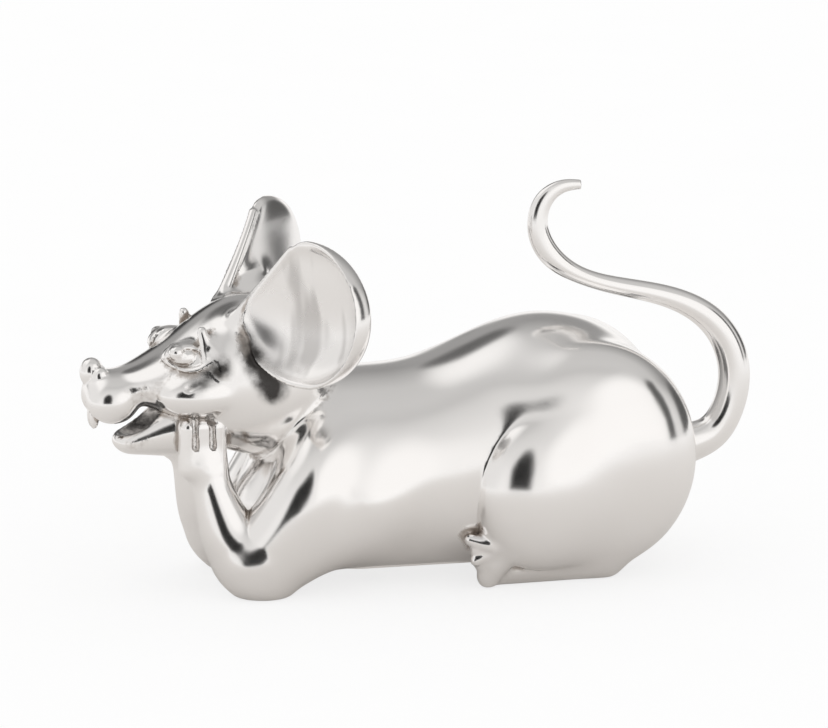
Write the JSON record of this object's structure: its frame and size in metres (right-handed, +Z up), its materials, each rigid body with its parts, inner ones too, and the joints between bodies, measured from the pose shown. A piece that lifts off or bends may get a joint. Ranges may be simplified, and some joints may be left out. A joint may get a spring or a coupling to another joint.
{
  "type": "rat figurine",
  "caption": "Polished silver-plated metal figurine of a smiling rat lying on its belly, chin propped on its hands, with large cupped ears and an upward curling tail.",
  "frame": {"origin": "on the table plane, under the middle of the whole figure's bounding box", "axes": "+Z up, the rat looks along -X, its left side is at -Y, its tail is at +X"},
  "size_m": [0.1501, 0.0752, 0.0864],
  "materials": {
    "polished_silver_plate": "mirror-polished silver-coloured plating on a metal casting",
    "fastener_steel": "bright steel fasteners"
  },
  "bodies": {
    "root": {"trunk_shell": "polished_silver_plate", "base_plate": "polished_silver_plate", "neck_plug": "polished_silver_plate", "head_shell": "polished_silver_plate", "lower_jaw": "polished_silver_plate", "left_ear": "polished_silver_plate", "right_ear": "polished_silver_plate", "left_arm": "polished_silver_plate", "right_arm": "polished_silver_plate", "tail": "polished_silver_plate", "base_screw_1": "fastener_steel", "base_screw_2": "fastener_steel", "base_screw_3": "fastener_steel", "base_screw_4": "fastener_steel", "neck_bolt": "fastener_steel", "neck_washer": "fastener_steel", "left_shoulder_dowel": "fastener_steel", "right_shoulder_dowel": "fastener_steel", "tail_stud": "fastener_steel", "tail_washer": "fastener_steel", "tail_nut": "fastener_steel"}
  },
  "joints": []
}
